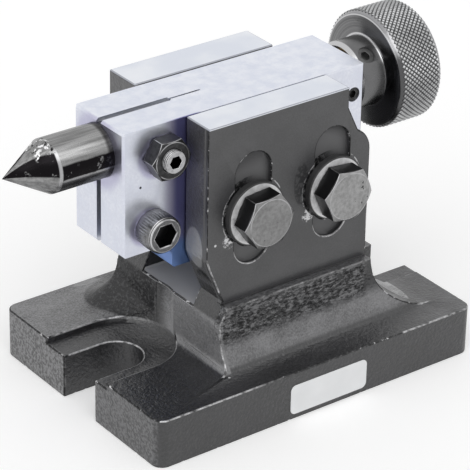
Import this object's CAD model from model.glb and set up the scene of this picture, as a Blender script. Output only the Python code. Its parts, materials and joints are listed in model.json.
"""Adjustable tailstock for a milling table, dressed over its packed solids.

The cast base carries a ground block between two cheeks, and the block carries a quill with a
60 degree point, which a knurled handwheel feeds. Every piece takes its place from the solids.
Places and lengths are in millimetres here, and meshes and the sizes that a user sets in metres.
"""

import json
import math
from types import SimpleNamespace

import bmesh
import bpy
from bpy.props import FloatProperty, FloatVectorProperty, IntProperty, PointerProperty
from mathutils import Matrix, Vector


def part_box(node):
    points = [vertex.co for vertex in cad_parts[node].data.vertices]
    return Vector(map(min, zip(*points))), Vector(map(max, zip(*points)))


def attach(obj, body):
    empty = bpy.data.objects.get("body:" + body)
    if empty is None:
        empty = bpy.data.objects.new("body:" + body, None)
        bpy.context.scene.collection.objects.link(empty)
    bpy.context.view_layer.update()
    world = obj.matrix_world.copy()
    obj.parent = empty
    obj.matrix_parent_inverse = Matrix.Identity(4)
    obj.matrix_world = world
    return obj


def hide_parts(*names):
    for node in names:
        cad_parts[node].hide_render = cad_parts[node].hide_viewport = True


bl_info = {
    "name": "Adjustable tailstock",
    "version": (1, 0, 0),
    "blender": (4, 5, 0),
    "location": "View3D > Sidebar > Tailstock",
    "description": "Finishes, knurl, threads and softened edges for an adjustable tailstock",
    "category": "Object",
}

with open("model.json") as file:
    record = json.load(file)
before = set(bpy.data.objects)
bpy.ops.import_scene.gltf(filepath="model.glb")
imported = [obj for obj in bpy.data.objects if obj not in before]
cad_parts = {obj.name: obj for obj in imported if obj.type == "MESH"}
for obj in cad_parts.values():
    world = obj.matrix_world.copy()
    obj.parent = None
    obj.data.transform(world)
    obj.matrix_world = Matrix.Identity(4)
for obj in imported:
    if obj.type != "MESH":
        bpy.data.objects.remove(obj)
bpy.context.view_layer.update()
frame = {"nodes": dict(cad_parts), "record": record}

BODY_OF = {node: body for body, nodes in frame["record"]["behaviour"]["bodies"].items() for node in nodes}
MM = 0.001


def box(node):
    """The low and the high corner of a solid, in millimetres."""
    return [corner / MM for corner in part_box(node)]


def metres(*lengths):
    """Lengths in metres."""
    return tuple(each * MM for each in lengths)


def centre(node):
    """X and Z of a solid's middle, in millimetres."""
    low, high = box(node)
    return (low.x + high.x) / 2, (low.z + high.z) / 2


POINT_X = box("quill")[0].x
SHOULDER_X = POINT_X + 15.6
QUILL_Z = centre("quill")[1]
BLOCK_LOW, BLOCK_HIGH = box("quill_block")
TOP_Z = box("base_casting")[1].z
FLAT_Y = -25.8
WHEEL_LOW, WHEEL_HIGH = box("handwheel")
WHEEL_R = (WHEEL_HIGH.y - WHEEL_LOW.y) / 2
HUB_R, HUB_L = 12, 10.4
RIM_X = WHEEL_LOW.x + HUB_L
KEY_LOW, KEY_HIGH = box("key_screw")
KEY_R = (KEY_HIGH.x - KEY_LOW.x) / 2
KEY = (centre("key_screw")[0], QUILL_Z)
CAP_LOW, CAP_HIGH = box("quill_clamp_screw")
CAP_R = (CAP_HIGH.x - CAP_LOW.x) / 2
CAP = centre("quill_clamp_screw")
BOLT_FRONT = box("front_clamp_bolt")[0].y
WASHER_LOW, WASHER_HIGH = box("front_clamp_washer")
WASHER_R = (WASHER_HIGH.x - WASHER_LOW.x) / 2
WASHERS = [centre(node) for node in ("front_clamp_washer", "rear_clamp_washer")]
SHARP = math.radians(34)


# Values and node graphs


class Value:
    """A socket of a node graph. Arithmetic on it adds Math nodes to the graph."""

    def __init__(self, graph, socket):
        self.graph = graph
        self.socket = socket

    def maths(self, operation, *others):
        """One Math node with this value first."""
        values = {str(i): v for i, v in enumerate((self, *others))}
        return self.graph.node("ShaderNodeMath", values, operation=operation)

    def __add__(self, other):
        return self.maths("ADD", other)

    def __sub__(self, other):
        return self.maths("SUBTRACT", other)

    def __rsub__(self, other):
        return self.graph.number(other).maths("SUBTRACT", self)

    def __mul__(self, other):
        return self.maths("MULTIPLY", other)

    def __truediv__(self, other):
        return self.maths("DIVIDE", other)

    def __pow__(self, other):
        return self.maths("POWER", other)

    def __or__(self, other):
        return self.maths("MAXIMUM", other)

    __radd__ = __add__
    __rmul__ = __mul__

    def output(self, key):
        """Another output of the same node, by name or number."""
        return Value(self.graph, self.socket.node.outputs[key])

    def size(self):
        """The value without its sign."""
        return self.maths("ABSOLUTE")

    def rises(self, low, high):
        """0 under low, 1 over high, and smooth between. Low may be the larger."""
        falls = low > high
        inputs = {
            "Value": self, "From Min": min(low, high), "From Max": max(low, high),
            "To Min": float(falls), "To Max": float(not falls),
        }
        return self.graph.node("ShaderNodeMapRange", inputs, interpolation_type="SMOOTHSTEP", clamp=True)

    def within(self, low, high, soft):
        """1 between low and high, and 0 outside."""
        return self.rises(low - soft, low + soft) * self.rises(high + soft, high - soft)


def any_of(masks):
    """The largest of some masks."""
    found, *others = masks
    for other in others:
        found = found | other
    return found


class Graph:
    """A shader or geometry node tree that is filled by calls."""

    def __init__(self, tree):
        self.tree = tree

    def node(self, kind, inputs=None, **settings):
        """Adds a node and returns its first output. Settings are set first; inputs go by name or number."""
        made = self.tree.nodes.new(kind)
        for key, value in settings.items():
            setattr(made, key, value)
        for key, value in (inputs or {}).items():
            socket = made.inputs[int(key)] if key.isdigit() else made.inputs[key]
            if isinstance(value, Value):
                self.tree.links.new(value.socket, socket)
            elif socket.type == "RGBA":
                socket.default_value = (*value[:3], 1)
            else:
                socket.default_value = value
        outputs = [Value(self, output) for output in made.outputs if output.enabled]
        return outputs[0] if outputs else None

    def number(self, value):
        """A fixed number as the first value of a sum."""
        return self.node("ShaderNodeMath", {"0": value, "1": 0}, operation="ADD")


class Finish(Graph):
    """A surface material on Object coordinates, with the place in millimetres as x, y and z."""

    def __init__(self, name):
        self.material = bpy.data.materials.new(name)
        self.material.use_nodes = True
        super().__init__(self.material.node_tree)
        self.tree.nodes.clear()
        self.place = self.node("ShaderNodeTexCoord").output("Object")
        axes = self.node("ShaderNodeSeparateXYZ", {"0": self.place})
        self.x, self.y, self.z = [axes.output(i) * (1 / MM) for i in range(3)]

    def stretched(self, *scale):
        """The place on the piece, stretched for a pattern with a direction."""
        return self.node("ShaderNodeMapping", {"Vector": self.place, "Scale": scale})

    def noise(self, scale, detail=3, rough=0.5, place=None):
        """Noise from 0 to 1."""
        inputs = {"Vector": place or self.place, "Scale": scale, "Detail": detail, "Roughness": rough}
        return self.node("ShaderNodeTexNoise", inputs)

    def mixed(self, amount, first, second):
        """First where amount is 0 and second where it is 1, as colours."""
        inputs = {"Factor": amount, "6": first, "7": second}
        return self.node("ShaderNodeMix", inputs, data_type="RGBA")

    def covered(self, color, *layers):
        """A colour under layers of (amount, colour), each over those before it."""
        for amount, over in layers:
            color = self.mixed(amount, color, over)
        return color

    def between(self, amount, first, second):
        """First where amount is 0 and second where it is 1, as numbers."""
        inputs = {"Factor": amount, "2": first, "3": second}
        return self.node("ShaderNodeMix", inputs, data_type="FLOAT")

    def edge(self):
        """1 on the narrow faces of softened edges."""
        return self.node("ShaderNodeAttribute", attribute_name="edge").output("Fac")

    def away(self, across, along, a, b):
        """Distance from the point (a, b) in a plane of two axes."""
        return ((across - a) ** 2 + (along - b) ** 2).maths("SQRT")

    def turn(self, side):
        """Degrees round the quill's axis, from 0 at the top towards a side."""
        return side.maths("ARCTAN2", self.z - QUILL_Z) * math.degrees(1)

    def bumped(self, height, distance, strength=0.4, onto=None):
        """A normal that is raised by height, which is 1 at a distance above the surface."""
        inputs = {"Height": height, "Distance": distance * MM, "Strength": strength}
        if onto:
            inputs["Normal"] = onto
        return self.node("ShaderNodeBump", inputs)

    def shader(self, **inputs):
        """A surface shader. Spaces in names are written as underscores."""
        named = {key.replace("_", " "): value for key, value in inputs.items()}
        return self.node("ShaderNodeBsdfPrincipled", named)

    def finished(self, surface):
        """Ends the graph in a surface and returns the material."""
        self.node("ShaderNodeOutputMaterial", {"Surface": surface})
        return self.material

    def done(self, **inputs):
        """Ends the graph in one surface shader."""
        return self.finished(self.shader(**inputs))


class Form(Graph):
    """A geometry tree that makes a plain piece. Its inputs are named, and values tells their kinds."""

    KINDS = {int: "NodeSocketInt", float: "NodeSocketFloat", tuple: "NodeSocketVector"}

    def __init__(self, name, values):
        super().__init__(bpy.data.node_groups.new(name, "GeometryNodeTree"))
        self.values = {}
        for key, value in values.items():
            socket = self.tree.interface.new_socket(key, in_out="INPUT", socket_type=self.KINDS[type(value)])
            self.values[socket.identifier] = value
        self.tree.interface.new_socket("Geometry", in_out="OUTPUT", socket_type="NodeSocketGeometry")
        first = self.node("NodeGroupInput")
        self.sizes = [first.output(key) for key in values]

    def vector(self, x=0, y=0, z=0):
        """A vector from its three parts."""
        return self.node("ShaderNodeCombineXYZ", {"X": x, "Y": y, "Z": z})

    def transformed(self, geometry, **how):
        """Geometry with a Translation, a Rotation or a Scale."""
        return self.node("GeometryNodeTransform", {"Geometry": geometry, **how})

    def pyramid(self, top, height):
        """A pyramid on a square with half diagonals of 1, which may be cut off at its top."""
        inputs = {"Vertices": 4, "Radius Top": top, "Radius Bottom": 1, "Depth": height}
        return self.node("GeometryNodeMeshCone", inputs, fill_type="NGON")

    def repeated(self, shape, count, place, turn, scale):
        """A shape at each of some places."""
        points = self.node("GeometryNodePoints", {"Count": count, "Position": place})
        inputs = {"Points": points, "Instance": shape, "Rotation": turn, "Scale": scale}
        return self.node("GeometryNodeInstanceOnPoints", inputs)

    def piece(self, geometry, name, material, slot, node):
        """Ends the tree and makes a plain piece of it, on the body of a node."""
        real = self.node("GeometryNodeRealizeInstances", {"Geometry": geometry})
        done = self.node("GeometryNodeSetMaterial", {"Geometry": real, "Material": material})
        self.node("NodeGroupOutput", {"Geometry": done})
        holder = meshed(name, bmesh.new())
        modifier = holder.modifiers.new(name, "NODES")
        modifier.node_group = self.tree
        for identifier, value in self.values.items():
            modifier[identifier] = value
        return dressed(plain(holder), name, material, BODY_OF[node])


# Making and placing pieces


def opened(mesh):
    """A mesh to work on, with its doubles merged."""
    work = bmesh.new()
    work.from_mesh(mesh)
    bmesh.ops.remove_doubles(work, verts=work.verts[:], dist=2e-6)
    return work


def meshed(name, work):
    """An object of what was worked on, in the scene."""
    mesh = bpy.data.meshes.new(name)
    work.to_mesh(mesh)
    work.free()
    made = bpy.data.objects.new(name, mesh)
    bpy.context.scene.collection.objects.link(made)
    return made


def removed(shape):
    """Takes an object and its mesh away."""
    old = shape.data
    bpy.data.objects.remove(shape)
    bpy.data.meshes.remove(old)


def plain(shape):
    """Turns an object with modifiers into a plain mesh."""
    bpy.context.view_layer.update()
    graph = bpy.context.evaluated_depsgraph_get()
    seen = shape.evaluated_get(graph)
    mesh = bpy.data.meshes.new_from_object(seen, preserve_all_data_layers=True, depsgraph=graph)
    shape.modifiers.clear()
    old = shape.data
    shape.data = mesh
    bpy.data.meshes.remove(old)
    return shape


def carved(shape, tool, operation):
    """Cuts a shape by a tool, which is used up."""
    cutting = shape.modifiers.new("cutting", "BOOLEAN")
    cutting.operation = operation
    cutting.solver = "EXACT"
    cutting.object = tool
    plain(shape)
    removed(tool)
    return shape


def softened(node, width, angle=34, fine=None, turning=None):
    """A merged copy of a solid with its sharp edges rounded, whose rounded faces carry "edge" 1.

    Fine tells for the middle of an edge whether it gets a narrow rounding. Turning is a turned
    shape that the copy is cut down to first.
    """
    work = opened(frame["nodes"][node].data)
    bmesh.ops.dissolve_limit(
        work, angle_limit=math.radians(0.7), verts=work.verts[:], edges=work.edges[:], delimit=set()
    )
    if turning:
        cut = carved(meshed("uncut", work), turning, "INTERSECT")
        work = opened(cut.data)
        removed(cut)
    for face in work.faces:
        face.smooth = True
        face.material_index = 0
    weights = work.edges.layers.float.new("bevel_weight_edge")
    for line in work.edges:
        if line.is_convex and line.calc_face_angle(0) > math.radians(angle):
            middle = (line.verts[0].co + line.verts[1].co) / 2
            line[weights] = 0.22 if fine and fine(middle) else 1
    shape = meshed(node + "_softened", work)
    for slot in range(2):
        shape.data.materials.append(None)
    shape.data.set_sharp_from_angle(angle=math.radians(angle))
    rounding = shape.modifiers.new("rounding", "BEVEL")
    rounding.width = width
    rounding.segments = 2
    rounding.limit_method = "WEIGHT"
    rounding.use_clamp_overlap = fine is None
    rounding.harden_normals = True
    rounding.material = 1
    rounding.miter_outer = "MITER_ARC"
    faces = plain(shape).data.polygons
    flag = shape.data.attributes.new("edge", "FLOAT", "FACE")
    flag.data.foreach_set("value", [float(face.material_index) for face in faces])
    for face in faces:
        face.material_index = 0
    shape.data.materials.clear()
    return shape


def turned(name, profile, place, steps=160):
    """A closed shape turned about X from [distance along X, radius] points, and then placed."""
    work = bmesh.new()
    rings = []
    for x, r in profile:
        turns = [2 * math.pi * i / steps for i in range(steps if r > 0 else 1)]
        rings.append([work.verts.new((x, r * math.sin(a), r * math.cos(a))) for a in turns])
    hollow = rings[:1] if profile[0][1] > 0 else []
    for one, two in zip(rings, rings[1:] + hollow):
        for i in range(steps):
            near = (one[i % len(one)], two[i % len(two)])
            far = (two[(i + 1) % len(two)], one[(i + 1) % len(one)])
            work.faces.new(list(dict.fromkeys(near + far)))
    bmesh.ops.recalc_face_normals(work, faces=work.faces[:])
    for face in work.faces:
        face.smooth = True
    work.transform(Matrix.Scale(MM, 4) @ place)
    shape = meshed(name, work)
    shape.data.set_sharp_from_angle(angle=SHARP)
    return shape


def chamfer_shape(node, flats, both=False):
    """A turned shape along Y that chamfers the corners of a hexagon head at 30 degrees."""
    low, high = box(node)
    face_r, wide = flats * 0.475, flats * 0.6
    drop = (wide - face_r) * math.tan(math.radians(30))
    front, back = low.y - 0.01, high.y + (0.01 if both else 1)
    profile = [(front, 0), (front, face_r), (front + drop, wide)]
    profile += [(back - drop, wide), (back, face_r)] if both else [(back, wide)]
    x, z = centre(node)
    place = Matrix.Translation((x, 0, z)) @ Matrix.Rotation(math.radians(90), 4, "Z")
    return turned(node + "_chamfer", profile + [(back, 0)], place, 96)


def from_axis(shape, axis):
    """Each vertex of a shape, with its way out from an axis along Y."""
    for vertex in shape.data.vertices:
        yield vertex, Vector((vertex.co.x - axis[0] * MM, 0, vertex.co.z - axis[1] * MM))


def slimmed(shape, axis, over, by):
    """Moves what lies further than over from an axis along Y inwards, to leave room for ridges."""
    for vertex, out in from_axis(shape, axis):
        if out.length > over * MM:
            vertex.co -= out.normalized() * by


def dressed(shape, name, material, body, stands_for=()):
    """Names a finished piece, gives it its material and ties it to its body."""
    shape.name = name
    shape.data.name = name
    shape.data.materials.clear()
    shape.data.materials.append(material)
    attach(shape, body)
    if stands_for:
        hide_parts(*stands_for)
    return shape


def dressed_copy(node, width, material, slot, **how):
    """A softened copy of a solid that takes the solid's place."""
    return dressed(softened(node, width, **how), node + "_dressed", material, BODY_OF[node], (node,))


# Finishes


def casting_places(f):
    """Where the casting's faces and marks are, as masks that are 1 there."""
    at = SimpleNamespace()
    pillar_front = f.x.rises(-28.4, -28.8)
    cheek_face = f.x.rises(-29, -30.5)
    at.top = f.z.rises(TOP_Z - 0.5, TOP_Z - 0.3)
    at.yoke = f.y.within(-13.7, 14.8, 0.1) * f.z.within(33.4, 35, 0.1)
    at.flat = f.y.within(FLAT_Y - 0.3, FLAT_Y + 2.3, 0.1) * f.z.rises(38.9, 39.2)
    at.recess = at.flat * f.y.rises(FLAT_Y + 1.2, FLAT_Y + 1.7)
    at.ledge = f.y.rises(FLAT_Y - 0.2, FLAT_Y - 0.4) * f.z.within(38.7, 39.3, 0.1)
    at.milled = at.yoke | at.flat
    at.rough = 1 - (at.milled | at.top)
    at.plate_top = f.z.within(16.9, 18, 0.1)
    at.ends = f.x.size().rises(64, 64.6) * f.z.rises(18.3, 17.9)
    foot = f.y.rises(-25.9, -26.2) * f.z.rises(18.5, 19.5) * at.rough
    at.scab = foot * f.z.within(26.5, 38.6, 2) * f.x.size().rises(31, 29)
    at.sweep = foot * f.z.within(19, 27, 2.5)
    at.front = pillar_front * f.z.rises(17.6, 18.2) * f.z.rises(34.4, 33)
    at.near_front = at.front * f.y.rises(6, 0)
    at.cheek_front = pillar_front * f.z.rises(38, 44)
    at.patch = cheek_face * ellipse(f.y, f.z, -18.6, 58.5, 4.4, 7.4)
    at.hollow = cheek_face * ellipse(f.y, f.z, -20, 44, 4.8, 6.5)
    at.glint = (at.plate_top | at.front) * ellipse(f.x, f.y, -32, 43.4, 6, 1.9)
    at.rear_glint = f.z.within(16.9, 19.6, 0.2) * ellipse(f.x, f.y, 49, -19.5, 2.6, 10)
    at.smudge = at.flat * ellipse(f.x, f.z, 4.2, 73.5, 3, 7.5)
    return at


def casting_paint(look):
    """Glossy black paint on a casting, with milled faces, bare tops and rubbed edges."""
    f = Finish("charcoal_casting")
    at = casting_places(f)
    grain = f.noise(950, 3, 0.6)
    sand = f.noise(1700, 2, 0.6)
    pits = f.noise(1, 3, 0.7, f.stretched(480, 800, 900))
    lumps = f.noise(210, 3, 0.6)
    clouds = f.noise(42, 3, 0.55)
    streaks = f.noise(90, 4, 0.6)
    rubbing = f.noise(420, 3, 0.65)
    milling = f.noise(1, 2, 0.5, f.stretched(180, 180, 2600))
    dirt = streaks * 0.6 + sand * 0.6
    brim = f.edge()
    rubbed = brim * f.between(
        exposed_edges(f),
        rubbing.rises(look.rub_low + 0.14, look.rub_low + 0.22),
        rubbing.rises(look.rub_low - 0.24, look.rub_low + 0.16) * 0.85,
    )
    scuffed = f.y.rises(FLAT_Y + 0.2, FLAT_Y + 0.1) * bolt_marks(f) * grain.rises(0.44, 0.56)
    bare = rubbed | speckled(f) | scuffed
    far_dust = f.mixed(f.y.rises(-20, 10), look.dust_color, look.fillet_color)
    dusty = at.plate_top * f.y.rises(-8, 20) * (streaks * 0.5 + sand * 0.7).rises(0.36, 0.78)
    rear_dust = at.plate_top * f.x.rises(36, 56) * streaks.rises(0.25, 0.8)
    paint = f.covered(
        f.mixed(clouds.rises(0.3, 0.7), look.paint_dark, look.paint_light),
        (at.ends * grain.rises(0.4, 0.62), far_dust),
        (grain.rises(0.42, 0.72) * 0.22 * at.rough, look.grain_color),
        (sand.rises(0.44, 0.74) * 0.35, look.grain_color),
        (rear_dust * 0.7, look.dust_color),
        (dusty, look.fillet_color),
        (at.sweep * dirt.rises(0.25, 0.8), look.fillet_color),
        (at.cheek_front * (sand * 0.5 + 0.2), look.dust_color),
        (at.near_front * dirt.rises(0.1, 0.8), look.fillet_color),
        (at.ledge, look.ledge_color),
        (at.glint * streaks.rises(0.3, 0.6), look.patch_color),
        (at.rear_glint * (streaks * 0.6 + sand * 0.4).rises(0.34, 0.6) * 0.75, look.bare_color),
        (at.scab * pits.rises(0.5, 0.6) * 0.7, look.fillet_color),
        (at.flat, look.milled_color),
        (at.flat * (sand * 0.5 + streaks * 0.5).rises(0.38, 0.64) * 0.5, look.grain_color),
        (at.recess, look.recess_color),
        (at.yoke, look.yoke_color),
        (at.patch * 0.85, look.patch_color),
        (at.hollow * pits.rises(0.6, 0.4), (0.003, 0.003, 0.003)),
        (brim * 0.8, (0.003, 0.003, 0.0035)),
        (bare, look.bare_color),
    )
    metal = f.mixed(f.noise(60).rises(0.35, 0.7), (0.68, 0.71, 0.78), (0.78, 0.8, 0.84))
    metal = f.mixed(brim * 0.8, metal, (0.3, 0.31, 0.35))
    gloss = f.between(clouds, look.gloss_low, look.gloss_high) + grain * 0.08
    faces = (at.scab, 0.46), (at.yoke, 0.55), (at.flat, 0.34 + sand * 0.1), (at.recess, 0.62), (at.top, 0.34)
    for face, roughness in faces:
        gloss = f.between(face, gloss, roughness)
    low = f.bumped(lumps * at.rough, 0.5, 0.6)
    mid = f.bumped(grain * at.rough + pits * at.scab * 3.5, 0.36, 0.9, low)
    skin = f.bumped(milling * at.milled, 0.05, 0.5, mid)
    glossy = f.shader(
        Specular_IOR_Level=look.shine, Base_Color=f.mixed(at.top, paint, metal), Roughness=gloss,
        Metallic=at.top | bare * 0.6, Normal=skin,
    )
    dull = f.mixed(grain.rises(0.48, 0.64), (0.004, 0.004, 0.0045), (0.09, 0.09, 0.092))
    matt = f.shader(Specular_IOR_Level=0.1, Base_Color=dull, Roughness=0.7, Normal=skin)
    sooty = any_of((
        at.front * f.y.rises(3, 9) * f.y.rises(38, 30) * (0.25 + grain * 0.6),
        at.hollow * 0.8,
        at.scab * pits.rises(0.49, 0.41) * 0.7,
        at.smudge * (streaks * 0.5 + grain * 0.5) * 0.9,
        at.flat * washer_soot(f),
        brim * (1 - rubbed) * 0.7,
    ))
    layers = {"0": sooty * (1 - at.top), "1": glossy, "2": matt}
    return f.finished(f.node("ShaderNodeMixShader", layers))


def bolt_marks(f):
    """1 on the thin rings that the washers rub on the near cheek, and on bare spots beside them."""
    marks = []
    for x, z in WASHERS:
        ring = f.away(f.x, f.z, x, z).within(WASHER_R + 0.8, WASHER_R + 1.15, 0.1)
        spot = f.away(f.x, f.z, x - 9.2, z - 8.2).rises(3, 1.8)
        marks += [ring * 0.8, spot]
    return any_of(marks)


def washer_soot(f):
    """1 in the dark crescents beside the washers."""
    return 0.9 * any_of(
        f.away(f.x, f.z, x, z).rises(WASHER_R + 0.8, WASHER_R + 0.65) * f.x.rises(x + 3, x - 4)
        for x, z in WASHERS
    )


def exposed_edges(f):
    """1 near the casting's edges that hands and tables rub bare."""
    near_edge = f.y.rises(-43.8, -44.2) * f.z.rises(16, 16.4)
    front_seat = f.x.rises(-30, -32) * f.z.within(14.5, 18, 0.2)
    corner = f.x.rises(-27.5, -28.5) * f.y.rises(-24.8, -25.2) * f.z.rises(18, 19)
    return any_of((
        near_edge * (0.12 + 0.88 * f.x.rises(-10, -34)),
        f.y.rises(-27.2, -27.5) * f.z.within(38, 40.2, 0.2) * 0.6,
        f.y.within(-26.3, -24.9, 0.1) * f.z.within(48, 57, 0.5),
        front_seat * f.x.rises(-63.5, -62.5),
        f.x.within(34, 64, 1) * f.z.within(16.5, 18, 0.2),
        corner * f.z.rises(60, 40),
    ))


def ellipse(across, along, a, b, half_a, half_b):
    """1 inside an ellipse round (a, b), with a soft rim."""
    reach = ((across - a) / half_a) ** 2 + ((along - b) / half_b) ** 2
    return reach.rises(1.15, 0.85)


def speckled(f):
    """Sparse small specks where the paint is knocked off."""
    cells = f.node("ShaderNodeTexVoronoi", {"Vector": f.place, "Scale": 70}, feature="F1")
    chance = f.node("ShaderNodeSeparateColor", {"0": cells.output("Color")})
    return cells.rises(0.05, 0.035) * chance.rises(0.62, 0.66)


def ground_steel(look):
    """Surface-ground steel with a cool tint that deepens beside the near cheek."""
    f = Finish("ground_steel")
    lines = f.noise(1, 4, 0.6, f.stretched(40, 1500, 1500))
    mottle = f.noise(240, 4, 0.65)
    patches = f.noise(38, 2, 0.5)
    fine = f.noise(1100, 3, 0.6)
    depth = look.blue_depth
    sides = f.z.rises(BLOCK_HIGH.z - 0.6, BLOCK_HIGH.z - 1)
    near = f.y.rises(-12.9, -13.3)
    beside = f.x.within(-37.6, -28, 1.6) * near
    violet = f.x.within(-40.4, -30, 2.2) * near * f.z.rises(62, 72)
    keel = f.z.rises(62, 58) * f.x.within(-39.2, -6, 1.4)
    round_quill = f.x.rises(-56, -56.6) * f.away(f.y, f.z, 0, QUILL_Z).rises(15, 10.5)
    nut_shade = near * f.away(f.x, f.z, KEY[0] - 1.6, KEY[1] - 0.5).rises(8.4, 6.6)
    cap_shade = near * f.away(f.x, f.z, CAP[0] - 1.6, CAP[1] + 0.2).rises(7.4, 5.8)
    dot = near * f.away(f.x, f.z, -50.4, 82.9).rises(0.55, 0.3)
    color = f.covered(
        f.mixed(mottle.rises(0.3, 0.72), look.steel_light, look.steel_dark),
        (patches.rises(0.42, 0.66) * 0.22, look.steel_dark),
        (sides * (0.25 + 0.7 * fine.rises(0.35, 0.65)), look.steel_side),
        (violet * depth * 0.6, look.violet),
        ((nut_shade | cap_shade | round_quill * 0.9) * 0.45, look.violet),
        ((beside | keel) * depth, look.blue),
        (keel * depth, look.deep_blue),
        (dot, (0.02, 0.02, 0.025)),
        (f.x.rises(BLOCK_HIGH.x - 0.9, BLOCK_HIGH.x - 0.3), look.end_color),
        (f.edge() * f.noise(300, 2).rises(0.2, 0.5) * 0.85, look.steel_edge),
    )
    gloss = f.between(mottle, 0.26, 0.4)
    return f.done(Base_Color=color, Roughness=gloss, Metallic=0.94, Normal=f.bumped(lines, 0.03))


def polished_steel(look):
    """Hardened and polished steel with dark burnished streaks, and a scratched, rubbed shoulder."""
    f = Finish("polished_quill")
    rings = f.noise(1, 3, 0.6, f.stretched(2600, 30, 30))
    drawn = f.noise(1, 3, 0.6, f.stretched(50, 900, 900))
    blotch = f.noise(260, 4, 0.7)
    turn = f.turn(f.y.size()) + (blotch - 0.5) * 5
    cone = f.x.rises(SHOULDER_X + 0.2, SHOULDER_X - 0.2)
    body = 1 - cone
    toward = (f.x - POINT_X) * (1 / (SHOULDER_X - POINT_X))
    wedge = turn.within(13, 96, 4) * cone
    wedge = wedge * (turn - (16 + toward * toward * 24)).rises(-3, 3)
    wedge = wedge * (turn - (80 + toward * 12)).rises(3, -2)
    stripe = turn.within(70, 102, 2) * body * f.x.rises(SHOULDER_X + 0.9, SHOULDER_X + 1.2)
    under = turn.rises(103, 107)
    light_line = turn.within(102, 107, 1.5) * body
    ring = f.x.within(SHOULDER_X - 0.2, SHOULDER_X + 0.9, 0.15)
    scratched = f.x.within(SHOULDER_X - 5, SHOULDER_X + 0.4, 0.6) * turn.rises(46, 34)
    mouth = f.x.rises(BLOCK_LOW.x - 2.6, BLOCK_LOW.x - 1.2)
    inside = f.x.rises(BLOCK_LOW.x + 2, BLOCK_LOW.x + 0.5)
    color = f.covered(
        f.mixed(drawn.rises(0.3, 0.72), look.quill_dark, look.quill_light),
        (rings.rises(0.4, 0.8) * 0.3, look.quill_light),
        (turn.within(36, 44, 4) * body * 0.4, (0.09, 0.09, 0.09)),
        (under * body * 0.85, look.quill_under),
        (under * cone * 0.25, look.quill_under),
        ((stripe | wedge) * blotch.rises(0.7, 0.6), look.quill_black),
        (light_line * blotch.rises(0.35, 0.5) * 0.7, (0.36, 0.36, 0.37)),
        (ring * turn.rises(26, 40) * 0.75, (0.45, 0.45, 0.46)),
        (scratched * f.noise(620, 2, 0.6).rises(0.52, 0.6), (0.92, 0.92, 0.93)),
        (scratched * f.noise(540, 2, 0.6).rises(0.43, 0.37), look.quill_black),
        (mouth * (0.5 + 0.3 * inside), look.quill_black),
    )
    gloss = f.between(blotch, 0.2, 0.34)
    return f.done(Base_Color=color, Roughness=gloss, Metallic=1, Normal=f.bumped(rings, 0.02))


def satin_steel(name, dark, light, edge, gloss=(0.3, 0.44), metal=0.9, grain=700, black=None):
    """Plain machined steel with a fine grain and brighter edges. Black finds its black places."""
    f = Finish(name)
    fine = f.noise(grain, 3, 0.6)
    broad = f.noise(grain * 0.12, 3, 0.6)
    color = f.mixed((fine * 0.6 + broad * 0.4).rises(0.32, 0.68), dark, light)
    if black:
        color = f.mixed(black(f), color, (0.038, 0.038, 0.039))
    worn = f.edge() * f.noise(grain * 0.4, 2).rises(0.3, 0.55)
    return f.done(
        Base_Color=f.mixed(worn * 0.8, color, edge), Roughness=f.between(broad, *gloss), Metallic=metal,
        Normal=f.bumped(fine, 0.04),
    )


def black_oxide(name):
    """Black oxide on steel, with bright edges."""
    dark, light, edge = (0.022, 0.022, 0.023), (0.055, 0.055, 0.057), (0.42, 0.42, 0.43)
    return satin_steel(name, dark, light, edge, (0.24, 0.38), 0.8)


def wheel_steel(sizes):
    """Turned steel of the handwheel, dark on its face and bright on its chamfers."""
    f = Finish("wheel_steel")
    out = f.away(f.y, f.z, 0, QUILL_Z)
    inner = WHEEL_R - sizes.margin / MM
    cuts = {"W": out, "Scale": 1500 * MM, "Detail": 3}
    rings = f.node("ShaderNodeTexNoise", cuts, noise_dimensions="1D")
    stain = f.noise(120, 4, 0.65)
    hub = out.rises(HUB_R + 0.06, HUB_R + 0.02)
    chamfer = out.rises(inner - 0.1, inner + 0.2)
    lines = out.within(inner - 0.55, inner - 0.05, 0.1)
    foot = out.within(HUB_R + 0.05, HUB_R + 0.75, 0.05)
    nose = f.x.rises(WHEEL_LOW.x + 1.4, WHEEL_LOW.x + 1.1)
    turn = f.turn(0 - f.y) + (stain - 0.5) * 16
    rim = out.rises(inner - 0.6, inner - 0.5) | foot
    face_oil = f.between(rim, turn.rises(-22, 2), turn.rises(48, 62))
    oiled = f.between(hub, face_oil, turn.rises(84, 118)) * f.x.rises(RIM_X + 2.4, RIM_X + 1.6)
    color = f.covered(
        f.mixed(rings.rises(0.3, 0.7), (0.12, 0.12, 0.122), (0.2, 0.2, 0.203)),
        (stain.rises(0.5, 0.7) * 0.5, (0.035, 0.035, 0.036)),
        (hub * stain.rises(0.35, 0.65) * 0.8, (0.16, 0.16, 0.163)),
        (chamfer * 0.85, (0.34, 0.34, 0.35)),
        ((lines | foot | nose) * 0.8, (0.62, 0.62, 0.63)),
        (oiled * 0.9, f.mixed(hub, (0.075, 0.075, 0.077), (0.15, 0.15, 0.153))),
    )
    gloss = f.between(stain, 0.16, 0.3)
    return f.done(Base_Color=color, Roughness=gloss, Metallic=1, Normal=f.bumped(rings, 0.02))


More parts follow.
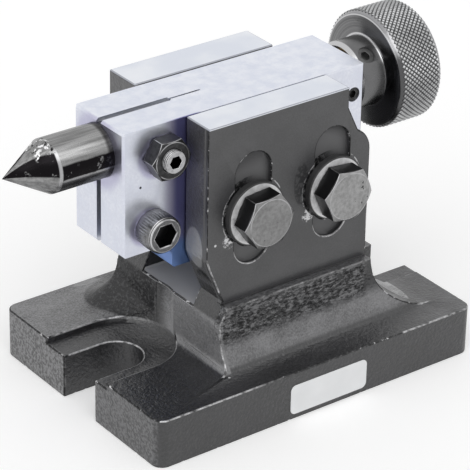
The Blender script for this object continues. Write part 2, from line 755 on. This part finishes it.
def knurl_steel(sizes):
    """Knurled steel, dark in its grooves and light on its points."""
    f = Finish("knurl_steel")
    height = sizes.height / MM
    raised = (f.away(f.y, f.z, 0, QUILL_Z) - (WHEEL_R - height)) * (1 / height)
    fine = f.noise(800, 2, 0.6)
    cloud = f.noise(70, 3, 0.6)
    light = f.mixed(cloud.rises(0.35, 0.65), (0.38, 0.385, 0.39), (0.52, 0.525, 0.53))
    color = f.mixed((raised + (fine - 0.5) * 0.4).rises(0.05, 0.55), (0.03, 0.03, 0.031), light)
    color = f.mixed((raised + fine * 0.3).rises(0.92, 1.05) * 0.6, color, (0.62, 0.62, 0.63))
    return f.done(Base_Color=color, Roughness=f.between(fine, 0.32, 0.46), Metallic=0.95)


def plate_enamel(look):
    """White enamel of the blank plate, with a soft orange peel."""
    f = Finish("plate_enamel")
    peel = f.noise(900, 2, 0.5)
    color = f.mixed(f.noise(90).rises(0.3, 0.7), look.plate_color, (0.8, 0.81, 0.82))
    return f.done(Base_Color=color, Roughness=f.between(peel, 0.26, 0.36), Normal=f.bumped(peel, 0.02))


# Black places of the screws and washers


def head_sides(f):
    """The black sides of a bolt head, and a few pits in its face."""
    pits = f.noise(520, 2, 0.5).rises(0.7, 0.74)
    return f.y.rises(BOLT_FRONT + 0.7, BOLT_FRONT + 1) | pits


def washer_sides(f):
    """The black rim of a washer, and stains on its face."""
    side = f.y.rises(WASHER_LOW.y + 0.35, WASHER_LOW.y + 0.5)
    stains = f.noise(110, 3, 0.6).rises(0.62, 0.7) * 0.8
    rims = [f.away(f.x, f.z, x, z).within(WASHER_R - 0.5, WASHER_R + 1, 0.15) for x, z in WASHERS]
    return any_of((side, stains, *rims))


def cap_socket(f):
    """The black socket of the cap screw."""
    return f.away(f.x, f.z, *CAP).rises(4.4, 4.2) * f.y.rises(CAP_LOW.y + 0.05, CAP_LOW.y + 0.25)


def key_socket(f):
    """The black socket of the key screw."""
    return f.away(f.x, f.z, *KEY).rises(2.5, 2.3) * f.y.rises(KEY_LOW.y + 0.05, KEY_LOW.y + 0.2)


# Sizes and colours


def shade(name, default, description):
    """A colour that a user can change."""
    return FloatVectorProperty(
        name=name, description=description, default=default, size=3, subtype="COLOR", min=0, max=1
    )


def length(name, default, description):
    """A length in metres that a user can change."""
    return FloatProperty(
        name=name, description=description, default=default, min=0, precision=5, unit="LENGTH"
    )


def amount(name, default, description):
    """A number that a user can change."""
    return FloatProperty(name=name, description=description, default=default)


def count(name, default, description):
    """A whole number that a user can change."""
    return IntProperty(name=name, description=description, default=default, min=2)


class CastingLook(bpy.types.PropertyGroup):
    """Look of the base casting."""

    paint_dark: shade("Paint, dark", (0.006, 0.006, 0.007), "Paint where it is thick")
    paint_light: shade("Paint, light", (0.015, 0.015, 0.017), "Paint where it is thin")
    grain_color: shade("Grain", (0.06, 0.06, 0.064), "High points of the cast skin")
    dust_color: shade("Dust", (0.105, 0.105, 0.11), "Paint that dust has dulled")
    milled_color: shade("Milled", (0.022, 0.022, 0.024), "Painted flat of the near cheek")
    ledge_color: shade("Ledge", (0.07, 0.07, 0.074), "Step under the near cheek's flat")
    recess_color: shade("Recess", (0.088, 0.088, 0.091), "Floor of the recesses round the bolts")
    fillet_color: shade("Fillet", (0.2, 0.2, 0.206), "Dull paint on the near foot's front")
    yoke_color: shade("Yoke", (0.5, 0.5, 0.51), "Milled floor between the cheeks")
    patch_color: shade("Patch", (0.27, 0.27, 0.275), "Dressed spot on the near cheek")
    bare_color: shade("Bare iron", (0.62, 0.62, 0.63), "Iron where the paint is rubbed off")
    gloss_low: amount("Gloss, low", 0.2, "Roughness of thick paint")
    gloss_high: amount("Gloss, high", 0.36, "Roughness of thin paint")
    shine: amount("Shine", 0.9, "Strength of the paint's reflections")
    rub_low: amount("Rubbing", 0.44, "Less is more rubbed")
    edge_width: length("Edge", 0.45 * MM, "Rounding of the casting's edges")


class SteelLook(bpy.types.PropertyGroup):
    """Look of the ground block, the quill and the name plate."""

    steel_light: shade("Ground, light", (0.77, 0.79, 0.85), "Ground steel")
    steel_dark: shade("Ground, dark", (0.66, 0.69, 0.78), "Ground steel in the mottle")
    steel_side: shade("Ground, sides", (0.66, 0.68, 0.76), "Ground steel on the upright faces")
    steel_edge: shade("Ground, edges", (0.42, 0.43, 0.53), "Stained chamfers of the block")
    end_color: shade("Rear end", (0.1, 0.1, 0.11), "Blackened rear end of the block")
    violet: shade("Violet", (0.24, 0.2, 0.42), "Violet cast near the cheek")
    blue: shade("Blue", (0.13, 0.13, 0.36), "Blue cast beside the near cheek")
    deep_blue: shade("Deep blue", (0.14, 0.25, 0.52), "Blue cast on the keel")
    blue_depth: amount("Blue depth", 0.85, "Strength of the blue cast")
    quill_dark: shade("Quill, dark", (0.17, 0.17, 0.17), "Quill in its drawn lines")
    quill_light: shade("Quill, light", (0.33, 0.33, 0.33), "Quill between its drawn lines")
    quill_under: shade("Quill, under", (0.06, 0.06, 0.065), "Quill's stained underside")
    quill_black: shade("Quill, burnt", (0.01, 0.009, 0.01), "Burnished streaks of the quill")
    plate_color: shade("Plate", (0.86, 0.87, 0.88), "Enamel of the blank plate")
    edge_width: length("Edge", 0.25 * MM, "Rounding of the machined edges")


class KnurlSizes(bpy.types.PropertyGroup):
    """Sizes of the handwheel's diamond knurl."""

    around: count("Around", 74, "Diamonds in one row")
    rows: count("Rows", 16, "Rows of diamonds along the rim")
    height: length("Height", 0.42 * MM, "Height of a diamond")
    margin: length("Margin", 1.3 * MM, "Plain chamfer at each side of the knurl")


class ThreadSizes(bpy.types.PropertyGroup):
    """Sizes of the thread on the key screw and of the ridges on the cap screw."""

    pitch: length("Pitch", 0.75 * MM, "Distance between two threads of the key screw")
    depth: length("Depth", 0.34 * MM, "Depth of the thread")
    ridges: count("Ridges", 42, "Ridges round the cap screw's head")
    ridge: length("Ridge", 0.24 * MM, "Height of a ridge on the cap screw's head")


class StageSetup(bpy.types.PropertyGroup):
    """Camera, floor and lamps."""

    lens: amount("Lens", 203.13, "Focal length for a 36 mm sensor")
    key: amount("Key", 0.95, "Strength of the lamp above the camera")
    side: amount("Side", 0.45, "Strength of the low left lamp")
    sky: amount("Sky", 0.6, "Light of the surroundings")
    floor_color: shade("Floor", (0.86, 0.86, 0.86), "Colour of the floor")


# Stage


class TAILSTOCK_OT_stage(bpy.types.Operator):
    """Add the camera, the floor, the lamps and the white surroundings"""

    bl_idname = "tailstock.stage"
    bl_label = "Stage"

    def execute(self, context):
        setup = context.scene.tailstock_stage
        self.camera(context, setup)
        self.floor(setup)
        self.surroundings(context, setup)
        lamp("key_lamp", (-0.35, -0.62, 0.95), 50, setup.key)
        lamp("side_lamp", (-0.95, -0.15, 0.4), 40, setup.side)
        context.scene.view_settings.view_transform = "Standard"
        return {"FINISHED"}

    def camera(self, context, setup):
        """The camera of the photograph, found from the edges of the object."""
        aim, distance = metres(-0.7, 0, 54), 0.87772
        turn, height, roll = (math.radians(a) for a in (37.431, 27.743, 1.332))
        turned_to = Matrix.Rotation(-turn, 4, "Z") @ Matrix.Rotation(math.pi / 2 - height, 4, "X")
        data = bpy.data.cameras.new("camera")
        data.lens = setup.lens
        data.sensor_width = 36
        data.shift_x, data.shift_y = -0.01083, -0.05081
        data.clip_start, data.clip_end = 0.05, 20
        camera = bpy.data.objects.new("camera", data)
        context.scene.collection.objects.link(camera)
        rolled = turned_to @ Matrix.Rotation(roll, 4, "Z")
        camera.matrix_world = Matrix.Translation(aim) @ rolled @ Matrix.Translation((0, 0, distance))
        context.scene.camera = camera

    def floor(self, setup):
        """A wide pale floor that keeps the object's shadow."""
        f = Finish("pale_floor")
        diffuse = f.node("ShaderNodeBsdfDiffuse", {"Color": tuple(setup.floor_color)})
        glow = f.node("ShaderNodeEmission", {"Strength": seen_directly(f) * 0.24})
        both = f.node("ShaderNodeAddShader", {"0": diffuse, "1": glow})
        work = bmesh.new()
        bmesh.ops.create_grid(work, x_segments=1, y_segments=1, size=6)
        made = meshed("floor", work)
        made.data.materials.append(f.finished(both))

    def surroundings(self, context, setup):
        """White to the camera and in reflections, and a gentler light on the object."""
        world = bpy.data.worlds.new("surroundings")
        world.use_nodes = True
        g = Graph(world.node_tree)
        g.tree.nodes.clear()
        seen = seen_directly(g)
        strength = seen + (1 - seen) * setup.sky
        light = g.node("ShaderNodeBackground", {"Color": (1, 1, 1), "Strength": strength})
        g.node("ShaderNodeOutputWorld", {"Surface": light})
        context.scene.world = world


def seen_directly(graph):
    """1 for rays from the camera and in mirrors and glass."""
    rays = graph.node("ShaderNodeLightPath")
    return any_of(rays.output("Is %s Ray" % kind) for kind in ("Camera", "Glossy", "Transmission"))


def lamp(name, place, width, strength):
    """A far, soft lamp that shines evenly from the side of a place. Width is its angle in degrees."""
    data = bpy.data.lights.new(name, "SUN")
    data.angle = math.radians(width)
    data.energy = strength
    made = bpy.data.objects.new(name, data)
    bpy.context.scene.collection.objects.link(made)
    aim = -Vector(place)
    made.matrix_world = Matrix.Translation(place) @ aim.to_track_quat("-Z", "Y").to_matrix().to_4x4()


# Pieces


class TAILSTOCK_OT_casting(bpy.types.Operator):
    """Dress the base casting in charcoal paint with bare tops and rubbed edges"""

    bl_idname = "tailstock.casting"
    bl_label = "Base casting"

    def execute(self, context):
        look = context.scene.tailstock_casting
        paint = casting_paint(look)
        dressed_copy("base_casting", look.edge_width, paint, "cast_iron", fine=self.at_rear_seat)
        return {"FINISHED"}

    @staticmethod
    def at_rear_seat(place):
        """True on the edges of the shallow seat at the rear."""
        x, y, z = place / MM
        return x > 33 and -16 < y < 20 and 16.8 < z < 17.7


class TAILSTOCK_OT_block(bpy.types.Operator):
    """Dress the quill block in ground steel"""

    bl_idname = "tailstock.block"
    bl_label = "Quill block"

    def execute(self, context):
        look = context.scene.tailstock_steel
        dressed_copy("quill_block", look.edge_width, ground_steel(look), "ground_steel")
        return {"FINISHED"}


class TAILSTOCK_OT_quill(bpy.types.Operator):
    """Dress the quill in dark polished steel"""

    bl_idname = "tailstock.quill"
    bl_label = "Quill"

    def execute(self, context):
        look = context.scene.tailstock_steel
        dressed_copy("quill", look.edge_width, polished_steel(look), "quill_steel")
        return {"FINISHED"}


class TAILSTOCK_OT_feed(bpy.types.Operator):
    """Dress the feed screw, its bush and the bush's set screw"""

    bl_idname = "tailstock.feed"
    bl_label = "Feed screw and bush"

    def execute(self, context):
        width = context.scene.tailstock_steel.edge_width
        screw = satin_steel("feed_screw_steel", (0.3, 0.3, 0.3), (0.44, 0.44, 0.44), (0.6, 0.6, 0.6))
        bush = satin_steel("bush_bronze", (0.42, 0.29, 0.12), (0.6, 0.44, 0.2), (0.72, 0.56, 0.3))
        dressed_copy("feed_screw", width, screw, "bolt_steel")
        dressed_copy("feed_bush", width, bush, "bronze")
        dressed_copy("bush_set_screw", width * 0.6, black_oxide("bush_screw_oxide"), "black_oxide")
        return {"FINISHED"}


class TAILSTOCK_OT_handwheel(bpy.types.Operator):
    """Make the handwheel with its diamond knurl, and dress its set screw"""

    bl_idname = "tailstock.handwheel"
    bl_label = "Handwheel"

    def execute(self, context):
        sizes = context.scene.tailstock_knurl
        axis = Matrix.Translation((0, 0, QUILL_Z))
        wheel = self.drilled(turned("handwheel_turned", self.profile(sizes), axis))
        body = BODY_OF["handwheel"]
        dressed(wheel, "handwheel_turned", wheel_steel(sizes), body, ("handwheel",))
        knurl = diamond_knurl(sizes)
        screw = satin_steel("wheel_screw_steel", (0.1, 0.1, 0.1), (0.17, 0.17, 0.17), (0.3, 0.3, 0.3))
        dressed_copy("handwheel_set_screw", 0.12 * MM, screw, "black_oxide")
        if not len(knurl.data.polygons) or not len(wheel.data.polygons):
            raise RuntimeError("the handwheel came out empty")
        return {"FINISHED"}

    def drilled(self, wheel):
        """The wheel with the hole of its set screw in the hub."""
        low, high = box("handwheel_set_screw")
        middle = (low + high) / 2
        out = Vector((0, middle.y, middle.z - QUILL_Z)).normalized()
        start = Vector((middle.x, 0, QUILL_Z)) + out * (HUB_R * 0.5 + 3.5)
        work = bmesh.new()
        bmesh.ops.create_cone(work, cap_ends=True, segments=32, radius1=3, radius2=3, depth=HUB_R)
        facing = out.to_track_quat("Z", "Y").to_matrix().to_4x4()
        work.transform(Matrix.Scale(MM, 4) @ Matrix.Translation(start) @ facing)
        carved(wheel, meshed("drill", work), "DIFFERENCE")
        wheel.data.set_sharp_from_angle(angle=SHARP)
        return wheel

    def profile(self, sizes):
        """Half section of the handwheel, which the knurl brings up to full size."""
        start, end, bore = WHEEL_LOW.x, WHEEL_HIGH.x, 4.55
        slope = sizes.margin / MM
        root, inner = WHEEL_R - sizes.height / MM, WHEEL_R - slope
        return [
            (start, bore), (start, HUB_R - 1.3), (start + 0.4, HUB_R - 0.9), (start + 1.3, HUB_R),
            (RIM_X - 0.7, HUB_R), (RIM_X - 0.2, HUB_R + 0.2), (RIM_X, HUB_R + 0.7),
            (RIM_X, inner - 0.3), (RIM_X + 0.15, inner),
            (RIM_X + slope - 0.2, root - 0.1), (RIM_X + slope + 0.2, root),
            (end - slope - 0.2, root), (end - slope + 0.2, root - 0.1),
            (end - 0.15, inner), (end, inner - 0.3), (end, inner - 3),
            (end - 2, inner - 5), (end - 2, bore),
        ]


def diamond_knurl(sizes):
    """Pyramids in staggered rows round the handwheel's rim."""
    begin = RIM_X * MM + sizes.margin
    g = Form("diamond_knurl", {
        "Around": sizes.around, "Rows": sizes.rows, "Height": sizes.height,
        "Radius": WHEEL_R * MM - sizes.height, "Start": begin,
        "Length": WHEEL_HIGH.x * MM - sizes.margin - begin, "Axis height": QUILL_Z * MM,
    })
    around, rows, height, radius, start, reach, axis_z = g.sizes
    index = g.node("GeometryNodeInputIndex")
    row = (index / around).maths("FLOOR")
    column = index - row * around
    step = reach / rows
    turn = (column + 0.5 * row.maths("MODULO", 2)) * (2 * math.pi) / around
    side, over = 0 - radius * turn.maths("SINE"), axis_z + radius * turn.maths("COSINE")
    place = g.vector(start + (row + 0.5) * step, side, over)
    diamond = {"Geometry": g.pyramid(0, height), "Shade Smooth": False}
    flat = g.node("GeometryNodeSetShadeSmooth", diamond)
    spread = g.vector(step, radius * math.pi / around, 1)
    placed = g.repeated(flat, around * rows, place, g.vector(turn), spread)
    return g.piece(placed, "handwheel_knurl", knurl_steel(sizes), "knurled_steel", "handwheel")


class TAILSTOCK_OT_clamp_bolts(bpy.types.Operator):
    """Dress the two clamp bolts and their washers"""

    bl_idname = "tailstock.clamp_bolts"
    bl_label = "Clamp bolts"

    def execute(self, context):
        for bolt, light in (("front_clamp_bolt", 1), ("rear_clamp_bolt", 1.3)):
            steel = satin_steel(
                bolt + "_steel", (0.17 * light,) * 3, (0.27 * light,) * 3, (0.44, 0.44, 0.45),
                (0.26, 0.36), 1, black=head_sides,
            )
            chamfer = chamfer_shape(bolt, 17)
            dressed_copy(bolt, 0.16 * MM, steel, "bolt_steel", angle=20, turning=chamfer)
        for washer in ("front_clamp_washer", "rear_clamp_washer"):
            steel = satin_steel(
                washer + "_steel", (0.56, 0.56, 0.565), (0.95, 0.95, 0.96), (0.05, 0.05, 0.05),
                (0.36, 0.5), 0.15, 300, black=washer_sides,
            )
            dressed_copy(washer, 0.2 * MM, steel, "bolt_steel")
        return {"FINISHED"}


class TAILSTOCK_OT_nose_screws(bpy.types.Operator):
    """Dress the quill clamp screw, the key screw and its lock nut"""

    bl_idname = "tailstock.nose_screws"
    bl_label = "Nose screws"

    def execute(self, context):
        sizes = context.scene.tailstock_thread
        self.clamp_screw(sizes)
        chamfer = chamfer_shape("key_lock_nut", 13, both=True)
        oxide = black_oxide("lock_nut_oxide")
        dressed_copy("key_lock_nut", 0.16 * MM, oxide, "black_oxide", angle=20, turning=chamfer)
        self.key_screw(sizes)
        return {"FINISHED"}

    def clamp_screw(self, sizes):
        """The cap screw, with a wider socket and with ridges round its head."""
        dark, light, edge = (0.075, 0.075, 0.078), (0.15, 0.15, 0.153), (0.62, 0.62, 0.63)
        steel = satin_steel("clamp_screw_steel", dark, light, edge, (0.22, 0.34), 1, black=cap_socket)
        screw = dressed_copy("quill_clamp_screw", 0.3 * MM, steel, "black_oxide")
        slimmed(screw, CAP, CAP_R - 0.5, sizes.ridge)
        for vertex, out in from_axis(screw, CAP):
            if out.length < 4 * MM and vertex.co.y < (CAP_LOW.y + 5) * MM:
                vertex.co += out * 0.22
        dark, light, edge = (0.11, 0.11, 0.112), (0.24, 0.24, 0.244), (0.7, 0.7, 0.7)
        straight_ridges(sizes, satin_steel("cap_ridge_steel", dark, light, edge, (0.22, 0.34), 1))

    def key_screw(self, sizes):
        """The key screw with its thread."""
        dark, light, edge = (0.3, 0.3, 0.31), (0.48, 0.48, 0.49), (0.8, 0.8, 0.8)
        steel = satin_steel("key_screw_steel", dark, light, edge, (0.2, 0.32), 1, black=key_socket)
        screw = dressed_copy("key_screw", 0.15 * MM, steel, "bolt_steel")
        slimmed(screw, KEY, KEY_R - 0.3, sizes.depth)
        screw_thread(sizes, steel)


def straight_ridges(sizes, material):
    """Straight ridges round the head of the cap screw."""
    g = Form("straight_ridges", {
        "Around": sizes.ridges, "Height": sizes.ridge, "Radius": CAP_R * MM - sizes.ridge,
        "Length": 6.6 * MM, "Place": metres(CAP[0], CAP_LOW.y + 0.7, CAP[1]),
    })
    around, height, radius, reach, place = g.sizes
    turn = g.node("GeometryNodeInputIndex") * (2 * math.pi) / around
    spot = g.vector(radius * turn.maths("SINE"), 0, radius * turn.maths("COSINE"))
    squared = g.transformed(g.pyramid(0.35, height), Rotation=(0, 0, math.pi / 4))
    square = g.transformed(squared, Scale=(math.sqrt(2), math.sqrt(2), 1))
    spread = g.vector(radius * math.pi / around, reach * 0.5, 1)
    placed = g.repeated(square, around, spot, g.vector(0, turn), spread)
    home = g.transformed(g.transformed(placed, Translation=g.vector(0, reach * 0.5)), Translation=place)
    return g.piece(home, "cap_ridges", material, "black_oxide", "quill_clamp_screw")


def screw_thread(sizes, material):
    """The key screw's thread, as a ridge that winds round its shank."""
    g = Form("screw_thread", {
        "Pitch": sizes.pitch, "Depth": sizes.depth, "Radius": KEY_R * MM - sizes.depth,
        "Length": 7 * MM, "Place": metres(KEY[0], KEY_LOW.y + 0.35, KEY[1]),
    })
    pitch, depth, radius, reach, place = g.sizes
    coil = g.node("GeometryNodeCurveSpiral", {
        "Resolution": 40, "Rotations": reach / pitch, "Start Radius": radius, "End Radius": radius,
        "Height": reach, "Reverse": False,
    })
    corners = {"Resolution": 4, "Radius": depth}
    section = g.node("GeometryNodeCurvePrimitiveCircle", corners, mode="RADIUS")
    swept = {"Curve": coil, "Profile Curve": section, "Fill Caps": True}
    ridge = g.node("GeometryNodeCurveToMesh", swept)
    laid = g.transformed(ridge, Rotation=(-math.pi / 2, 0, 0))
    home = g.transformed(laid, Translation=place)
    return g.piece(home, "key_thread", material, "bolt_steel", "key_screw")


class TAILSTOCK_OT_name_plate(bpy.types.Operator):
    """Dress the blank plate on the near edge of the base"""

    bl_idname = "tailstock.name_plate"
    bl_label = "Name plate"

    def execute(self, context):
        look = context.scene.tailstock_steel
        dressed_copy("name_plate", 0.08 * MM, plate_enamel(look), "plate_white")
        return {"FINISHED"}


PIECES = (
    TAILSTOCK_OT_casting,
    TAILSTOCK_OT_block,
    TAILSTOCK_OT_quill,
    TAILSTOCK_OT_feed,
    TAILSTOCK_OT_handwheel,
    TAILSTOCK_OT_clamp_bolts,
    TAILSTOCK_OT_nose_screws,
    TAILSTOCK_OT_name_plate,
    TAILSTOCK_OT_stage,
)
LOOKS = {
    "tailstock_casting": CastingLook,
    "tailstock_steel": SteelLook,
    "tailstock_knurl": KnurlSizes,
    "tailstock_thread": ThreadSizes,
    "tailstock_stage": StageSetup,
}


class TAILSTOCK_PT_sidebar(bpy.types.Panel):
    """The tailstock's pieces and their sizes and colours"""

    bl_idname = "TAILSTOCK_PT_sidebar"
    bl_label = "Tailstock"
    bl_space_type = "VIEW_3D"
    bl_region_type = "UI"
    bl_category = "Tailstock"

    def draw(self, context):
        for piece in PIECES:
            self.layout.operator(piece.bl_idname)
        for name, look in LOOKS.items():
            box = self.layout.box()
            box.label(text=look.__doc__)
            for key in look.__annotations__:
                box.prop(getattr(context.scene, name), key)


def register():
    for kind in (*LOOKS.values(), *PIECES, TAILSTOCK_PT_sidebar):
        bpy.utils.register_class(kind)
    for name, kind in LOOKS.items():
        setattr(bpy.types.Scene, name, PointerProperty(type=kind))


def unregister():
    for name in LOOKS:
        delattr(bpy.types.Scene, name)
    for kind in (TAILSTOCK_PT_sidebar, *PIECES, *LOOKS.values()):
        bpy.utils.unregister_class(kind)


def main():
    register()
    for piece in PIECES:
        group, name = piece.bl_idname.split(".")
        getattr(getattr(bpy.ops, group), name)()


if __name__ == "__main__":
    main()
